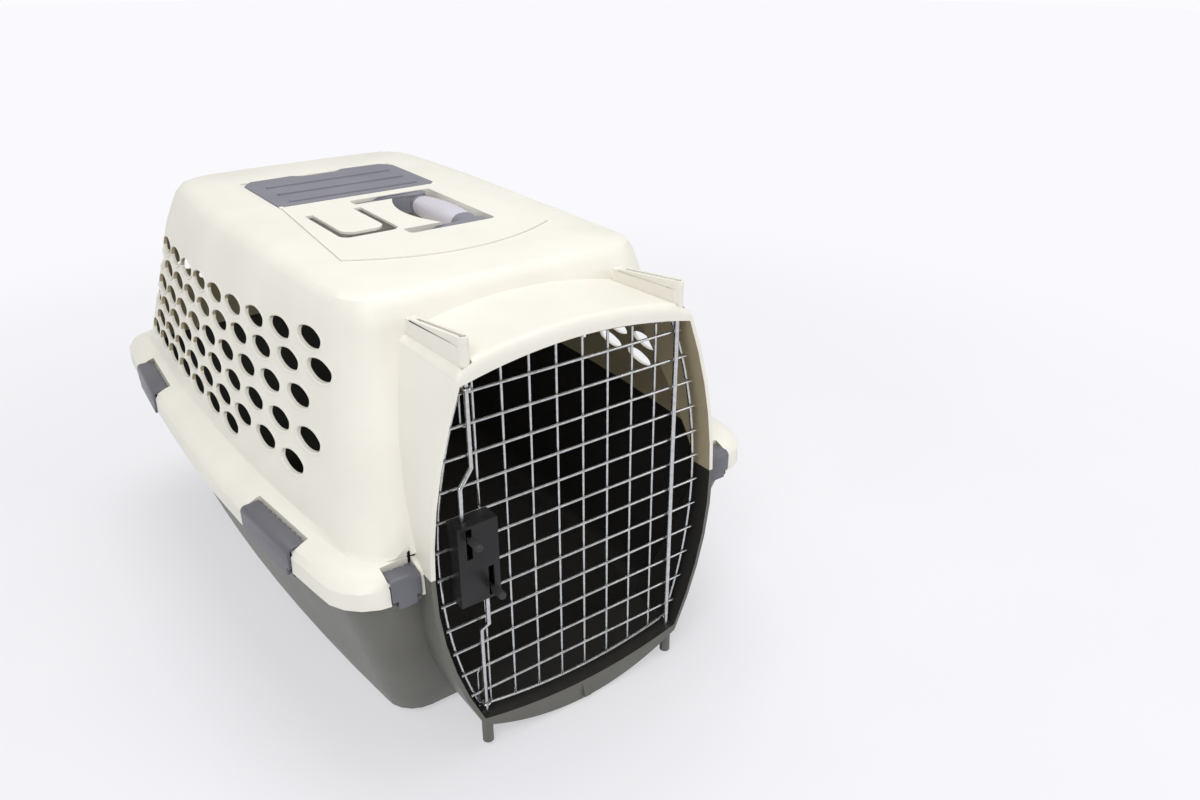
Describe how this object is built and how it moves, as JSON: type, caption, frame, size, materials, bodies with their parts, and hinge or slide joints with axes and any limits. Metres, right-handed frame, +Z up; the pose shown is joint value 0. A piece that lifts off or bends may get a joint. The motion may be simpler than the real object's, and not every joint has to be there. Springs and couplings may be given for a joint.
{
  "type": "pet travel carrier",
  "caption": "Two-part travel carrier for a bird or small pet with a hinged wire door, squeeze latch, swinging rim clips, folding carry handle and lidded storage bin.",
  "frame": {"origin": "centre of the overall box at floor level", "axes": "+Z up, -Y out of the doorway, +X towards the door hinge, with the door shut and the handle and lid down"},
  "size_m": [0.4718, 0.6952, 0.399],
  "materials": {
    "cream_plastic": "fine moulded grain",
    "taupe_plastic": "fine moulded grain",
    "slate_plastic": "satin",
    "zinc_wire": "bright zinc plate",
    "black_plastic": "satin black",
    "black_rubber": "soft black",
    "lilac_grip": "smooth"
  },
  "bodies": {
    "carrier": {"lower_shell": "taupe_plastic", "upper_shell": "cream_plastic", "top_panel": "cream_plastic", "lid_hinge_pin": "zinc_wire", "handle_pins": "zinc_wire"},
    "door": {"door_frame_wire": "zinc_wire", "door_upright_wires": "zinc_wire", "door_cross_wires": "zinc_wire", "door_hinge_rod": "zinc_wire", "latch_rod_guides": "zinc_wire", "latch_case": "black_plastic", "latch_back_plate": "black_plastic", "upper_spring": "zinc_wire", "lower_spring": "zinc_wire"},
    "upper_latch": {"upper_latch_rod": "zinc_wire", "upper_thumb_cap": "black_rubber"},
    "lower_latch": {"lower_latch_rod": "zinc_wire", "lower_thumb_cap": "black_rubber"},
    "handle": {"handle_frame": "slate_plastic", "handle_grip": "lilac_grip"},
    "lid": {"storage_lid": "slate_plastic"},
    "front_clip_left_body": {"front_clip_left": "slate_plastic"},
    "front_clip_right_body": {"front_clip_right": "slate_plastic"},
    "side_clip_left_body": {"side_clip_left": "slate_plastic"},
    "side_clip_right_body": {"side_clip_right": "slate_plastic"},
    "rear_clip_left_body": {"rear_clip_left": "slate_plastic"},
    "rear_clip_right_body": {"rear_clip_right": "slate_plastic"}
  },
  "joints": [
    {"name": "door_hinge", "type": "hinge", "parent": "carrier", "child": "door", "pos_m": [0.102, -0.31321, 0.2], "axis": [0, 0, 1], "range_deg": [0, 135]},
    {"name": "upper_latch_slide", "type": "slide", "parent": "door", "child": "upper_latch", "axis": [0, 0, 1], "range_m": [-0.006, 0.005], "stiffness_N_per_m": 200, "springref_m": 0.012, "deforming": ["upper_spring"]},
    {"name": "lower_latch_slide", "type": "slide", "parent": "door", "child": "lower_latch", "axis": [0, 0, -1], "range_m": [-0.006, 0.005], "stiffness_N_per_m": 200, "springref_m": 0.012, "deforming": ["lower_spring"]},
    {"name": "handle_fold", "type": "hinge", "parent": "carrier", "child": "handle", "pos_m": [-0.012, -0.00239, 0.386], "axis": [0, -1, 0], "range_deg": [0, 90]},
    {"name": "lid_hinge", "type": "hinge", "parent": "carrier", "child": "lid", "pos_m": [0, 0.08961, 0.3942], "axis": [1, 0, 0], "range_deg": [0, 95]},
    {"name": "front_clip_left_hinge", "type": "hinge", "parent": "carrier", "child": "front_clip_left_body", "pos_m": [-0.163, -0.30519, 0.181], "axis": [1, 0, 0], "range_deg": [0, 100]},
    {"name": "front_clip_right_hinge", "type": "hinge", "parent": "carrier", "child": "front_clip_right_body", "pos_m": [0.163, -0.30519, 0.181], "axis": [1, 0, 0], "range_deg": [0, 100]},
    {"name": "side_clip_left_hinge", "type": "hinge", "parent": "carrier", "child": "side_clip_left_body", "pos_m": [-0.22237, -0.17687, 0.181], "axis": [0.0996, -0.995, 0], "range_deg": [0, 100]},
    {"name": "side_clip_right_hinge", "type": "hinge", "parent": "carrier", "child": "side_clip_right_body", "pos_m": [0.22237, -0.17687, 0.181], "axis": [0.0996, 0.995, 0], "range_deg": [0, 100]},
    {"name": "rear_clip_left_hinge", "type": "hinge", "parent": "carrier", "child": "rear_clip_left_body", "pos_m": [-0.22503, 0.19131, 0.181], "axis": [-0.0577, -0.9983, 0], "range_deg": [0, 100]},
    {"name": "rear_clip_right_hinge", "type": "hinge", "parent": "carrier", "child": "rear_clip_right_body", "pos_m": [0.22503, 0.19131, 0.181], "axis": [-0.0577, 0.9983, 0], "range_deg": [0, 100]}
  ]
}
